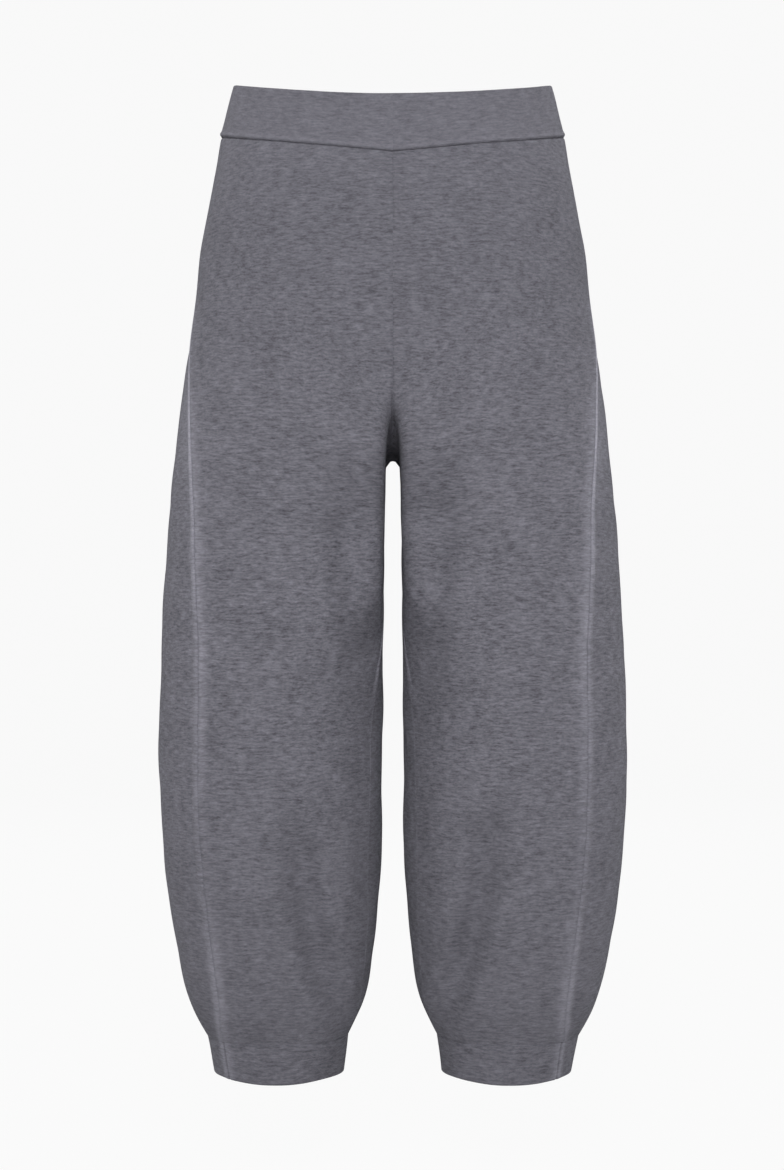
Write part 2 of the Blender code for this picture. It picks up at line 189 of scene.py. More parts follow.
def form_point(turn, drop):
    """The outer face at a turn about the leg's axis: 0 inward, 90 front, 180 outward, 270 back."""
    turn = np.radians(turn)
    axis = leg_axis(drop)
    to_middle = axis / np.maximum(np.cos(turn), TINY)
    reach = crossing(
        np.zeros_like(turn),
        np.minimum(to_middle, WELL_OUTSIDE),
        lambda r: past_form(axis - r * np.cos(turn), -r * np.sin(turn), drop),
    )
    return np.stack([axis - reach * np.cos(turn), -reach * np.sin(turn), -drop], axis=-1)


def outward(points):
    """The outer face's direction at each point, from how the form's distance grows."""
    step = SHORT_STEP
    x, y, drop = points[..., 0], points[..., 1], -points[..., 2]
    grown = np.stack(
        [
            past_form(x + step, y, drop) - past_form(x - step, y, drop),
            past_form(x, y + step, drop) - past_form(x, y - step, drop),
            past_form(x, y, drop - step) - past_form(x, y, drop + step),
        ],
        axis=-1,
    )
    return grown / np.linalg.norm(grown, axis=-1, keepdims=True)


CROTCH_END = float(
    crossing(
        np.array(U_TOP_DROP),
        np.array(CROTCH_DROP + CROTCH_EASING),
        lambda drop: past_form(np.array(0.0), np.array(0.0), drop),
    )
)


def inner_turn(drop, facing):
    """The turn of a panel's inner edge: the centre seam above the crotch, the inseam below it.

    facing is -1 for a front panel and 1 for a back panel.
    """
    seam = crossing(
        np.zeros_like(drop),
        np.full_like(drop, WELL_OUTSIDE),
        lambda reach: past_form(np.zeros_like(drop), facing * reach, drop),
    )
    centre = np.degrees(np.arctan2(seam, leg_axis(drop)))
    if facing > 0:
        return 360 + np.where(drop < CROTCH_END, -centre, LEG["inseam"](drop))
    return np.where(drop < CROTCH_END, centre, LEG["inseam"](drop))


def outer_turn(drop):
    """The turn of a panel's outer edge, at the outseam."""
    return 180 - LEG["outseam"](drop)


# How finely each panel is drawn. The points lie closer together beside every seam.
PANEL_COLUMNS = {"front": 104, "back": 164}
LEG_ROWS = 132
CROTCH_ROWS = 50
HIP_ROWS = 66
SEAM_CLOSENESS = 0.86
HEM_CLOSENESS = 0.75
# Rows leave the crotch seam squarely, so they drop this much over this share of the width.
ROW_DROP = 0.085
LEAN_REACH = 0.6
U_LAST_ANGLE = 8


def drawn_closer(count, closeness, start=True, end=True):
    """Shares from 0 to 1 that lie closer together at the start, at the end, or at both."""
    share = np.linspace(0, 1, count + 1)
    if start and end:
        return share - closeness * np.sin(2 * np.pi * share) / (2 * np.pi)
    if start:
        return share - closeness * np.sin(np.pi * share) / np.pi
    return share + closeness * np.sin(np.pi * share) / np.pi


def edge_rows(facing):
    """The drop of each row of a panel at its inner and its outer edge, from the cuff upward."""
    name = "front" if facing < 0 else "back"
    leg_end = SECTIONS[-1][0]
    share = drawn_closer(LEG_ROWS, HEM_CLOSENESS, end=False)
    leg_inner = leg_end + (CROTCH_END - leg_end) * share
    crotch_outer = CROTCH_END + ROW_DROP
    leg_outer = leg_end + (crotch_outer - leg_end) * share

    angle = np.radians(np.linspace(90, U_LAST_ANGLE, CROTCH_ROWS + 1)[1:])
    u_height = CROTCH_END - U_TOP_DROP
    crotch_inner = U_TOP_DROP + u_height * np.sin(angle) ** (2 / U_ROUNDNESS)
    band_side = BAND_BOTTOM["side"] - INSIDE_BAND
    band_centre = BAND_BOTTOM[name] - INSIDE_BAND
    hip_share = drawn_closer(HIP_ROWS, SEAM_CLOSENESS, start=False)[1:]
    hip_inner = crotch_inner[-1] + (band_centre - crotch_inner[-1]) * hip_share
    rest = CROTCH_ROWS + HIP_ROWS
    rest_share = drawn_closer(rest, SEAM_CLOSENESS, start=False)[1:]
    rest_outer = crotch_outer + (band_side - crotch_outer) * rest_share
    inner = np.concatenate([leg_inner, crotch_inner, hip_inner])
    return inner, np.concatenate([leg_outer, rest_outer])


def risen_share(shares, facing, vee=0.0):
    """How far an edge that dips at the centre has come to the side's height, column by column."""
    drop = np.full_like(shares, BAND_BOTTOM["side"])
    inner = inner_turn(drop, facing)
    turns = inner + (outer_turn(drop) - inner) * shares
    out = form_point(turns, drop)[..., 0]
    out = np.minimum((out - out[0]) / (out[-1] - out[0]), 1)
    return 1 - (1 - out**2) ** RISE_POWER + vee * out * (1 - out)


def travelled(points, axis):
    """The length along a grid's rows or columns, from its first point to each point."""
    steps = np.linalg.norm(np.diff(points, axis=axis), axis=-1)
    start = np.zeros_like(np.take(steps, [0], axis=axis))
    return np.concatenate([start, np.cumsum(steps, axis=axis)], axis=axis)


def panel_skin(face):
    """A left panel's plain outer face, and each point's distance from the panel's four edges."""
    facing = -1 if face == "front" else 1
    shares = drawn_closer(PANEL_COLUMNS[face], SEAM_CLOSENESS)
    inner_rows, outer_rows = edge_rows(facing)
    lean_at_band = risen_share(shares, facing, BAND_BOTTOM_VEE[face])
    lean_at_leg = np.minimum(shares / LEAN_REACH, 1)
    up = (CROTCH_END - inner_rows) / (CROTCH_END - inner_rows[-1])
    up = np.clip(up, 0, 1)[:, None]
    lean = lean_at_leg[None, :] * (1 - up) + lean_at_band[None, :] * up
    drop = inner_rows[:, None] * (1 - lean) + outer_rows[:, None] * lean
    turn = inner_turn(inner_rows, facing)[:, None]
    turn = turn + (outer_turn(drop) - turn) * shares[None, :]
    points = form_point(turn, drop)
    way = outward(points)
    centre = (shares[None, :] == 0) & (drop < CROTCH_END)
    points[..., 0] = np.where(centre, 0, points[..., 0])
    way[..., 0] = np.where(centre, 0, way[..., 0])
    way /= np.linalg.norm(way, axis=-1, keepdims=True)
    around = travelled(points, 1)
    up_along = travelled(points, 0)
    return {
        "points": points,
        "way": way,
        "drop": drop,
        "from_inner": around,
        "from_outer": around[:, -1:] - around,
        "from_foot": up_along,
        "from_top": np.maximum(up_along[-1:] - up_along - INSIDE_BAND, 0),
        "grain": around - around[:, [len(shares) // 2]],
        "face": face,
    }


# The seams' relief. On the outside of the leg the linked seam stands up as two soft rounded lobes,
# the back panel's and the front panel's, with a shallow groove between them. A highlight is
# painted paler on each lobe, and more faintly on the shoulder beside it, where the panel swells a
# little.
# Down the leg: the crest's height, the highlight painted on each panel's lobe, the shoulder, and
# the highlight painted on the back panel's strip.
CREST = table_curves(
    ("drop", "height", "pale_back", "pale_front", "shoulder", "strip"),
    (
        (0.050, 0.0004, 0.04, 0.02, 0.00, 0.00),
        (0.180, 0.0008, 0.14, 0.04, 0.03, 0.02),
        (0.250, 0.0013, 0.72, 0.12, 0.07, 0.15),
        (0.310, 0.0020, 1.00, 0.22, 0.10, 0.34),
        (0.350, 0.0024, 0.66, 0.28, 0.10, 0.24),
        (0.400, 0.0026, 0.60, 0.36, 0.07, 0.07),
        (0.480, 0.0026, 0.42, 0.38, 0.05, 0.00),
        (0.580, 0.0024, 0.30, 0.38, 0.02, 0.00),
        (0.680, 0.0022, 0.26, 0.20, 0.01, 0.00),
        (0.780, 0.0020, 0.26, 0.20, 0.01, 0.00),
        (0.835, 0.0017, 0.50, 0.38, 0.02, 0.00),
        (0.9015, 0.0009, 0.55, 0.45, 0.04, 0.00),
    ),
)
CREST_OFFSET = {"back": 0.0020, "front": 0.0022}
CREST_WIDTH = {"back": 0.0046, "front": 0.0058}
CREST_SHARE = {"back": 1.0, "front": 0.8}
CREST_GROOVE = 0.0002
SHOULDER_WIDTH = {"back": 0.012, "front": 0.024}
SHOULDER_SWELL = 0.010
# A highlight is painted paler over this strip of the back panel's edge beside the crest, and more
# faintly along the inseam's ridge.
HIGHLIGHT_STRIP_WIDTH = 0.035
INSEAM_PAINTED_HIGHLIGHT = 0.05
# The inseam is a finer ridge, which starts this far below the crotch and comes in softly.
INSEAM_START = 0.02
INSEAM_START_EASING = 0.008
INSEAM_RIDGE = table_curves(
    ("drop", "height", "width"),
    (
        (0.357, 0.0000, 0.0025),
        (0.480, 0.0003, 0.0025),
        (0.640, 0.0003, 0.0028),
        (0.800, 0.0004, 0.0030),
        (0.9015, 0.0004, 0.0030),
    ),
)
# At every edge the cloth rolls in a little, which draws the seam as a fine line.
LINE_DEPTH = 0.0005
LINE_WIDTH = 0.0008
# The centre seam is drawn tight just below the waist, and lies in a widening cleft at the crotch.
CENTRE_LINE = table_curves(
    ("drop", "depth", "width"),
    (
        (0.050, 0.0003, 0.0011),
        (0.085, 0.0010, 0.0011),
        (0.110, 0.0010, 0.0011),
        (0.140, 0.0007, 0.0011),
        (0.230, 0.0007, 0.0011),
        (0.290, 0.0012, 0.0012),
        (0.315, 0.0024, 0.0016),
        (0.335, 0.0050, 0.0026),
        (0.350, 0.0016, 0.0030),
        (0.360, 0.0006, 0.0030),
    ),
)
WAIST_TUCK_DEPTH = 0.0011
WAIST_TUCK_WIDTH = 0.0016
# At the foot the cloth turns straight down, to meet the cuff edge to edge.
FOOT_TURN_REACH = 0.004


def bell(distance, width):
    """A soft rise of height 1 that fades out past the width."""
    return np.exp(-((distance / width) ** 2))


def crest_lobe(from_seam, face):
    """One panel's lobe of the crest: 1 along its top, and lower over the seam itself."""
    return bell(from_seam - CREST_OFFSET[face], CREST_WIDTH[face])


def seam_relief(skin):
    """How far the cloth stands out along a panel's seams, and 0 to 1 where a highlight is painted
    paler.
    """
    drop = skin["drop"]
    face = skin["face"]
    lobe = crest_lobe(skin["from_outer"], face)
    shoulder = CREST["shoulder"](drop) * bell(skin["from_outer"], SHOULDER_WIDTH[face])
    legward = 1 / (1 + np.exp(-(drop - CROTCH_END - INSEAM_START) / INSEAM_START_EASING))
    ridge = bell(skin["from_inner"], INSEAM_RIDGE["width"](drop)) * legward
    rise = CREST["height"](drop) * CREST_SHARE[face] * lobe
    rise += shoulder * SHOULDER_SWELL
    rise += np.maximum(INSEAM_RIDGE["height"](drop), 0) * ridge
    rise -= CREST_GROOVE * bell(skin["from_outer"], LINE_WIDTH)
    rise -= LINE_DEPTH * bell(skin["from_inner"], LINE_WIDTH) * legward
    centre_line = bell(skin["from_inner"], CENTRE_LINE["width"](drop)) * (1 - legward)
    rise -= CENTRE_LINE["depth"](drop) * centre_line
    rise -= WAIST_TUCK_DEPTH * bell(skin["from_top"], WAIST_TUCK_WIDTH)
    # The crest's lobes, its shoulders, the inseam's ridge and the back panel's strip get a painted
    # highlight.
    pale = CREST["pale_" + face](drop) * lobe + shoulder + ridge * INSEAM_PAINTED_HIGHLIGHT
    if face == "back":
        pale += CREST["strip"](drop) * bell(skin["from_outer"], HIGHLIGHT_STRIP_WIDTH)
    return rise, np.clip(pale, 0, 1)


# The folds, soft troughs in the cloth: which face of which side, where they start and end (out
# from the middle, and down), how far they bow sideways on the way, how wide they are to each side,
# and how deep.
FOLD_COLUMNS = (
    "face", "side", "out", "drop", "end_out", "end_drop", "bow", "width", "depth",
)
FOLDS = (
    # down the inner thigh
    ("front", "left", 0.054, 0.385, 0.042, 0.530, 0.002, 0.0090, 0.0026),
    ("front", "right", 0.053, 0.378, 0.041, 0.540, 0.002, 0.0090, 0.0026),
    ("front", "left", 0.036, 0.600, 0.027, 0.790, -0.002, 0.0080, 0.0010),
    ("front", "right", 0.032, 0.620, 0.027, 0.770, -0.002, 0.0080, 0.0012),
    # from mid shin in to the cuff
    ("front", "left", 0.092, 0.712, 0.047, 0.880, 0.006, 0.0130, 0.0095),
    ("front", "right", 0.091, 0.716, 0.048, 0.882, 0.007, 0.0130, 0.0092),
    ("front", "left", 0.148, 0.800, 0.137, 0.890, 0.002, 0.0120, 0.0010),
    ("front", "right", 0.152, 0.790, 0.136, 0.893, 0.003, 0.0120, 0.0012),
    # a hollow down each side of the centre seam, above the crotch
    ("front", "left", 0.006, 0.225, 0.008, 0.320, 0.001, 0.013, 0.0016),
    ("front", "right", 0.006, 0.235, 0.008, 0.320, 0.001, 0.013, 0.0016),
    # small puckers below the waistband
    ("front", "right", 0.0125, 0.087, 0.0125, 0.103, 0.000, 0.0015, 0.0005),
    ("front", "right", 0.0170, 0.086, 0.0172, 0.101, 0.000, 0.0015, 0.0006),
    ("front", "right", 0.0222, 0.089, 0.0221, 0.106, 0.000, 0.0016, 0.0005),
    ("front", "left", 0.094, 0.078, 0.092, 0.090, 0.000, 0.004, 0.0007),
    ("front", "left", 0.081, 0.088, 0.083, 0.110, 0.000, 0.004, 0.0008),
    ("front", "right", 0.097, 0.076, 0.094, 0.094, 0.000, 0.004, 0.0008),
    ("front", "right", 0.078, 0.090, 0.081, 0.106, 0.000, 0.004, 0.0006),
    # under the seat
    ("back", "left", 0.040, 0.330, 0.120, 0.405, -0.012, 0.016, 0.0034),
    ("back", "right", 0.037, 0.335, 0.126, 0.398, -0.014, 0.017, 0.0031),
    ("back", "left", 0.055, 0.385, 0.135, 0.450, -0.010, 0.014, 0.0022),
    ("back", "right", 0.049, 0.390, 0.119, 0.446, -0.008, 0.014, 0.0025),
    # down the back of the leg, and in to the cuff
    ("back", "left", 0.110, 0.640, 0.074, 0.870, 0.008, 0.020, 0.0032),
    ("back", "right", 0.114, 0.625, 0.071, 0.865, 0.010, 0.020, 0.0030),
    ("back", "left", 0.150, 0.740, 0.128, 0.885, 0.004, 0.014, 0.0018),
    ("back", "right", 0.155, 0.755, 0.131, 0.882, 0.005, 0.014, 0.0020),
    ("back", "left", 0.052, 0.560, 0.036, 0.730, 0.004, 0.012, 0.0016),
    ("back", "right", 0.049, 0.545, 0.037, 0.715, 0.003, 0.012, 0.0018),
)
# At a tuck the cloth is set back on the side toward the middle, by the depth and over the width.
# It comes forward again over the reach, and past the tuck's two ends over the fade.
TUCK_COLUMNS = FOLD_COLUMNS + ("reach", "fade")
TUCKS = (
    ("front", "left", 0.052, 0.420, 0.042, 0.520, 0.001, 0.0140, 0.0285, 0.110, 0.045),
    ("front", "right", 0.051, 0.415, 0.041, 0.525, 0.001, 0.0140, 0.0285, 0.110, 0.045),
    ("front", "left", 0.090, 0.725, 0.047, 0.880, 0.007, 0.0100, 0.0165, 0.024, 0.030),
    ("front", "right", 0.089, 0.730, 0.048, 0.882, 0.007, 0.0100, 0.0160, 0.025, 0.030),
)
FOLD_SEAM_FADE = 0.008
# Beside each trough the cloth swells by a share of its depth, so many trough widths away.
SWELL_SHARE = 0.35
SWELL_AWAY = 1.7
SWELL_WIDTH = 0.7
# A trough runs out so many times more slowly past its ends than to its sides, and at its ends it
# has this share of its depth.
END_STRETCH = 2.2
END_SHARE = 0.45
# A tuck's setback fades along the leg's flank, from this far in front of the side.
FLANK_REACH = 0.09


def fold_place(points, fold):
    """Each point's share of the way along a fold, and how far off its line and past its end."""
    start = np.array([fold["out"], -fold["drop"]])
    along = np.array([fold["end_out"], -fold["end_drop"]]) - start
    length = np.linalg.norm(along)
    sideways = np.array([-along[1], along[0]]) / length
    offset = points[..., [0, 2]] - start
    share = offset @ along / length**2
    inside = np.clip(share, 0, 1)
    across = offset @ sideways - fold["bow"] * np.sin(np.pi * inside)
    return inside, across, (share - inside) * length


def folds_of(columns, table, face, side):
    """The rows of a table of folds that lie on one panel."""
    rows = [dict(zip(columns, row)) for row in table]
    return [row for row in rows if row["face"] == face and row["side"] == side]


def fold_relief(skin, side):
    """How far the troughs press the cloth in or swell it out at each point of a panel.

    They fade where the cloth turns to face sideways.
    """
    points, face = skin["points"], skin["face"]
    relief = np.zeros(points.shape[:-1])
    for fold in folds_of(FOLD_COLUMNS, FOLDS, face, side):
        inside, across, past_end = fold_place(points, fold)
        away = np.hypot(across, past_end / END_STRETCH) / fold["width"]
        swell = bell(away - SWELL_AWAY, SWELL_WIDTH)
        eased_ends = END_SHARE + (1 - END_SHARE) * np.sin(np.pi * inside)
        relief -= fold["depth"] * eased_ends * (bell(away, 1) - SWELL_SHARE * swell)
    return relief * np.abs(skin["way"][..., 1])


def tuck_setback(skin, side):
    """How far the tucks move each point of a panel along Y, which is straight back or forward."""
    points = skin["points"]
    setback = np.zeros(points.shape[:-1])
    for fold in folds_of(TUCK_COLUMNS, TUCKS, skin["face"], side):
        _, across, past_end = fold_place(points, fold)
        step = 0.5 - 0.5 * np.tanh(across / fold["width"])
        coming_back = bell(np.minimum(across, 0), fold["reach"]) * bell(past_end, fold["fade"])
        setback += fold["depth"] * step * coming_back
    from_flank = np.clip(np.abs(points[..., 1]) / FLANK_REACH, 0, 1)
    return -np.sign(points[..., 1]) * setback * from_flank**2 * (3 - 2 * from_flank)


# Filled cloth is never quite even: long, low waves cross it at a few slants.
WAVE_COLUMNS = ("length", "slant", "height")
WAVES = (
    (0.170, 12.0, 0.00050),
    (0.115, 71.0, 0.00035),
    (0.083, 144.0, 0.00028),
    (0.052, 98.0, 0.00018),
    (0.037, 31.0, 0.00010),
)


def wave_relief(points, side):
    """The long, low waves at each point; they run on from piece to piece."""
    relief = np.zeros(points.shape[:-1])
    for i, row in enumerate(WAVES):
        wave = dict(zip(WAVE_COLUMNS, row))
        slant = math.radians(wave["slant"])
        across = points[..., 0] * SIDES[side]
        along = across * math.cos(slant) + points[..., 2] * math.sin(slant)
        along = along + points[..., 1] * math.sin(slant + i)
        relief += wave["height"] * np.sin(2 * np.pi * along / wave["length"] + i)
    return relief


# Linking gathers the cloth a little along the waist and cuff seams. At the waist it makes small
# upright puckers.
PUCKER_SPACINGS = (0.0061, 0.0083, 0.0137)
PUCKER_HEIGHT = 0.00022
PUCKER_REACH = 0.016
# Over these lengths the puckers crowd and spread, and grow stronger and weaker about a mean.
PUCKER_CROWDING = 0.031
PUCKER_CHANGING = 0.047
PUCKER_MEAN = 0.6


def pucker_relief(around, from_seam, seed):
    """Small uneven puckers that fade with the distance from a seam."""
    relief = np.zeros_like(around)
    for i, spacing in enumerate(PUCKER_SPACINGS):
        turn = 2 * np.pi * around / spacing + seed * (i + 1.3)
        relief += np.sin(turn + 1.5 * np.sin(around / PUCKER_CROWDING + i + seed))
    strength = PUCKER_MEAN + (1 - PUCKER_MEAN) * np.sin(around / PUCKER_CHANGING + seed * 2.1)
    return PUCKER_HEIGHT * relief * strength * np.exp(-from_seam / PUCKER_REACH)


# Edges that turn more than this, in degrees, are shaded sharp.
SHARP_TURN = 60


def add_cloth(name, points, knit_map, pale, closed_section, flip):
    """A closed cloth mesh from a grid whose rows run round the cloth's section or its length.

    Each row is a closed ring. Where the section isn't closed the first and last rows are capped
    by folding them flat on themselves. knit_map holds each point's place on the knit, in metres,
    with one more row and column than points, and pale is 0 to 1 where a highlight is painted
    paler.
    """
    rows, columns = points.shape[:2]
    row = np.arange(rows if closed_section else rows - 1)[:, None]
    column = np.arange(columns)[None, :]
    corners = [(row, column), (row, column + 1), (row + 1, column + 1), (row + 1, column)]
    ends = [(r % rows) * columns + c % columns for r, c in corners]
    places = [r * (columns + 1) + c for r, c in corners]
    quads = np.stack(ends, axis=-1).reshape(-1, 4)
    marks = np.stack(places, axis=-1).reshape(-1, 4)
    if not closed_section:
        half = np.arange(columns // 2 - 1)
        opposite = columns - 1 - half
        for edge, turned in ((0, False), (rows - 1, True)):
            cap = np.stack([half, opposite, opposite - 1, half + 1], axis=-1)
            cap = cap[:, ::-1] if turned else cap
            quads = np.concatenate([quads, cap + edge * columns])
            marks = np.concatenate([marks, cap + edge * (columns + 1)])
    if flip:
        quads = quads[:, ::-1]
        marks = marks[:, ::-1]
    mesh = bpy.data.meshes.new(name)
    mesh.from_pydata(points.reshape(-1, 3).tolist(), [], quads.tolist())
    layer = mesh.uv_layers.new(name="knit")
    layer.uv.foreach_set("vector", knit_map.reshape(-1, 2)[marks.ravel()].ravel())
    attribute = mesh.attributes.new("pale", "FLOAT", "POINT")
    attribute.data.foreach_set("value", pale.ravel().astype(np.float32))
    mesh.shade_smooth()
    mesh.set_sharp_from_angle(angle=math.radians(SHARP_TURN))
    cloth = bpy.data.objects.new(name, mesh)
    bpy.context.scene.collection.objects.link(cloth)
    return cloth


# The knit itself: grey melange yarn, so light and dark fibres lie in short level streaks.
STITCH_WIDTH = 0.0015
STITCH_HEIGHT = 0.0011
STITCH_SLANT = 1.1
STITCH_FULLNESS = 0.6
DARK_FIBRE = (0.098, 0.096, 0.113)
LIGHT_FIBRE = (0.208, 0.204, 0.237)
# Each noise in the knit: how wide and high its grains are, how finely they are broken up, and a
# shift that sets it apart from the rest.
NOISES = {
    "sway": (0.0300, 0.0120, 2.0, 3.0),
    "streaks": (0.0100, 0.0020, 3.0, 0.0),
    "mottle": (0.0120, 0.0075, 2.0, 5.0),
    "flecks": (0.0030, 0.0012, 2.0, 7.0),
    "clouds": (0.0450, 0.0330, 2.0, 11.0),
    "nap": (0.0006, 0.0005, 2.0, 17.0),
}
# How far up and down the courses of stitches wander.
SWAY_HEIGHT = 0.004
# How far each noise, the stitches and the painted highlights move the shade, where 1 is all the
# way from the dark to the light fibre.
SHADES = {"streaks": 1.6, "mottle": 0.60, "flecks": 0.9, "clouds": 0.4}
STITCH_SHADE = 0.22
STITCH_SHADE_MEAN = 0.07
PAINTED_HIGHLIGHT_SHADE = 1.6
# The melange shows most at the thigh, and shade is painted on the hip, so the cloth is a little
# darker there.
THIGH_DROP = 0.50
THIGH_REACH = 0.32
THIGH_CONTRAST = 0.44
LEAST_CONTRAST = 0.80
HIP_DROP = 0.17
HIP_REACH = 0.11
HIP_PAINTED_SHADE = -0.14
# How high the streaks, the stitches' loops and the nap stand in the bump, and how rough it all is.
STREAK_HEIGHT = 0.9
LOOP_HEIGHT = 0.35
NAP_HEIGHT = 0.25
NAP_ROUGHNESS = 0.10
LEAST_ROUGHNESS = 0.86


def add_node(tree, kind, inputs, **settings):
    """A shader node with its settings; an input is a value or another node's output."""
    node = tree.nodes.new("ShaderNode" + kind)
    for name, value in settings.items():
        setattr(node, name, value)
    for key, value in inputs.items():
        if isinstance(value, bpy.types.NodeSocket):
            tree.links.new(value, node.inputs[key])
        else:
            node.inputs[key].default_value = value
    return node


def calculate(tree, operation, *values):
    """The output of a math node."""
    return add_node(tree, "Math", dict(enumerate(values)), operation=operation).outputs[0]


def new_group(name, inputs, outputs):
    """An empty node group with named inputs and outputs, given as name, type and default."""
    tree = bpy.data.node_groups.new(name, "ShaderNodeTree")
    for label, kind, default in inputs:
        made = tree.interface.new_socket(label, in_out="INPUT", socket_type="NodeSocket" + kind)
        made.default_value = default
    for label, kind in outputs:
        tree.interface.new_socket(label, in_out="OUTPUT", socket_type="NodeSocket" + kind)
    return tree, tree.nodes.new("NodeGroupInput").outputs, tree.nodes.new("NodeGroupOutput").inputs


def knit_noise(tree, place, name):
    """One of the knit's noises, from 0 to 1 over the place on the knit."""
    across, up, detail, shift = NOISES[name]
    scaled = add_node(
        tree,
        "Mapping",
        {"Vector": place, "Scale": (1 / across, 1 / up, 1), "Location": (shift, shift, 0)},
    )
    noise = add_node(
        tree,
        "TexNoise",
        {"Vector": scaled.outputs[0], "Scale": 1.0, "Detail": detail, "Roughness": 0.55},
        noise_dimensions="2D",
    )
    return noise.outputs[0]


def node_bell(tree, place, middle, reach):
    """In a node tree, a soft rise of height 1 round the middle that fades out past the reach."""
    away = calculate(tree, "MULTIPLY_ADD", place, 1 / reach, -middle / reach)
    fall = calculate(tree, "MULTIPLY", calculate(tree, "MULTIPLY", away, away), -1.0)
    return calculate(tree, "EXPONENT", fall)


def stitches_group():
    """The face of a plain knit: columns of small V stitches, as a height from 0 to 1."""
    tree, given, result = new_group(
        "knit_stitches",
        [
            ("Place", "Vector", (0, 0, 0)),
            ("Stitch Width", "Float", STITCH_WIDTH),
            ("Stitch Height", "Float", STITCH_HEIGHT),
        ],
        [("Height", "Float")],
    )
    axes = add_node(tree, "SeparateXYZ", {0: given["Place"]}).outputs
    across = calculate(tree, "DIVIDE", axes[0], given["Stitch Width"])
    up = calculate(tree, "DIVIDE", axes[1], given["Stitch Height"])
    share = calculate(tree, "FRACT", across)
    to_edge = calculate(tree, "ABSOLUTE", calculate(tree, "SUBTRACT", share, 0.5))
    leg = calculate(tree, "SINE", calculate(tree, "MULTIPLY", to_edge, 2 * math.pi))
    slanted = calculate(tree, "ADD", up, calculate(tree, "MULTIPLY", to_edge, STITCH_SLANT))
    loop = calculate(tree, "SINE", calculate(tree, "MULTIPLY", slanted, 2 * math.pi))
    loop = calculate(tree, "MULTIPLY_ADD", loop, 0.5, 0.5)
    height = calculate(tree, "MULTIPLY", calculate(tree, "POWER", leg, STITCH_FULLNESS), loop)
    tree.links.new(height, result["Height"])
    return tree


def melange_group(stitches):
    """Melange knit: streaks of light and dark fibres on the stitches, and the cloth's nap."""
    tree, given, result = new_group(
        "melange_knit",
        [
            ("Dark", "Color", (*DARK_FIBRE, 1)),
            ("Light", "Color", (*LIGHT_FIBRE, 1)),
            ("Contrast", "Float", 1.0),
            ("Painted Highlight", "Float", 0.0),
            ("Stitch Width", "Float", STITCH_WIDTH),
            ("Stitch Height", "Float", STITCH_HEIGHT),
        ],
        [("Colour", "Color"), ("Height", "Float"), ("Roughness", "Float")],
    )
    place = add_node(tree, "UVMap", {}, uv_map="knit").outputs[0]
    sway = calculate(tree, "SUBTRACT", knit_noise(tree, place, "sway"), 0.5)
    sway = add_node(tree, "CombineXYZ", {1: calculate(tree, "MULTIPLY", sway, SWAY_HEIGHT)})
    swayed = {0: place, 1: sway.outputs[0]}
    place = add_node(tree, "VectorMath", swayed, operation="ADD").outputs[0]
    stitch = add_node(
        tree,
        "Group",
        {
            "Place": place,
            "Stitch Width": given["Stitch Width"],
            "Stitch Height": given["Stitch Height"],
        },
        node_tree=stitches,
    ).outputs[0]

    noises = {name: knit_noise(tree, place, name) for name in SHADES}
    mix = 0.0
    for name, shade in SHADES.items():
        mix = calculate(tree, "SUBTRACT", mix, shade / 2)
        mix = calculate(tree, "MULTIPLY_ADD", noises[name], shade, mix)
    drop = add_node(tree, "SeparateXYZ", {0: place}).outputs[1]
    thighward = node_bell(tree, drop, THIGH_DROP, THIGH_REACH)
    contrast = calculate(tree, "MULTIPLY_ADD", thighward, THIGH_CONTRAST, LEAST_CONTRAST)
    contrast = calculate(tree, "MULTIPLY", given["Contrast"], contrast)
    mix = calculate(tree, "MULTIPLY_ADD", mix, contrast, 0.5)
    # Painted shade darkens the cloth at the hip.
    hip_shade_mask = node_bell(tree, drop, HIP_DROP, HIP_REACH)
    mix = calculate(tree, "MULTIPLY_ADD", hip_shade_mask, HIP_PAINTED_SHADE, mix)
    mix = calculate(tree, "SUBTRACT", mix, STITCH_SHADE_MEAN)
    mix = calculate(tree, "MULTIPLY_ADD", stitch, STITCH_SHADE, mix)
    # The painted highlights lift the colour toward the light fibre.
    mix = calculate(tree, "MULTIPLY_ADD", given["Painted Highlight"], PAINTED_HIGHLIGHT_SHADE, mix)
    colour = add_node(
        tree,
        "Mix",
        {"Factor": mix, "A": given["Dark"], "B": given["Light"]},
        data_type="RGBA",
        clamp_factor=False,
    )
    tree.links.new(colour.outputs["Result"], result["Colour"])

    nap = knit_noise(tree, place, "nap")
    height = calculate(tree, "MULTIPLY", noises["streaks"], STREAK_HEIGHT)
    height = calculate(tree, "MULTIPLY_ADD", stitch, LOOP_HEIGHT, height)
    height = calculate(tree, "MULTIPLY_ADD", nap, NAP_HEIGHT, height)
    tree.links.new(height, result["Height"])
    rough = calculate(tree, "MULTIPLY_ADD", nap, NAP_ROUGHNESS, LEAST_ROUGHNESS)
    tree.links.new(rough, result["Roughness"])
    return tree


MELANGE = melange_group(stitches_group())


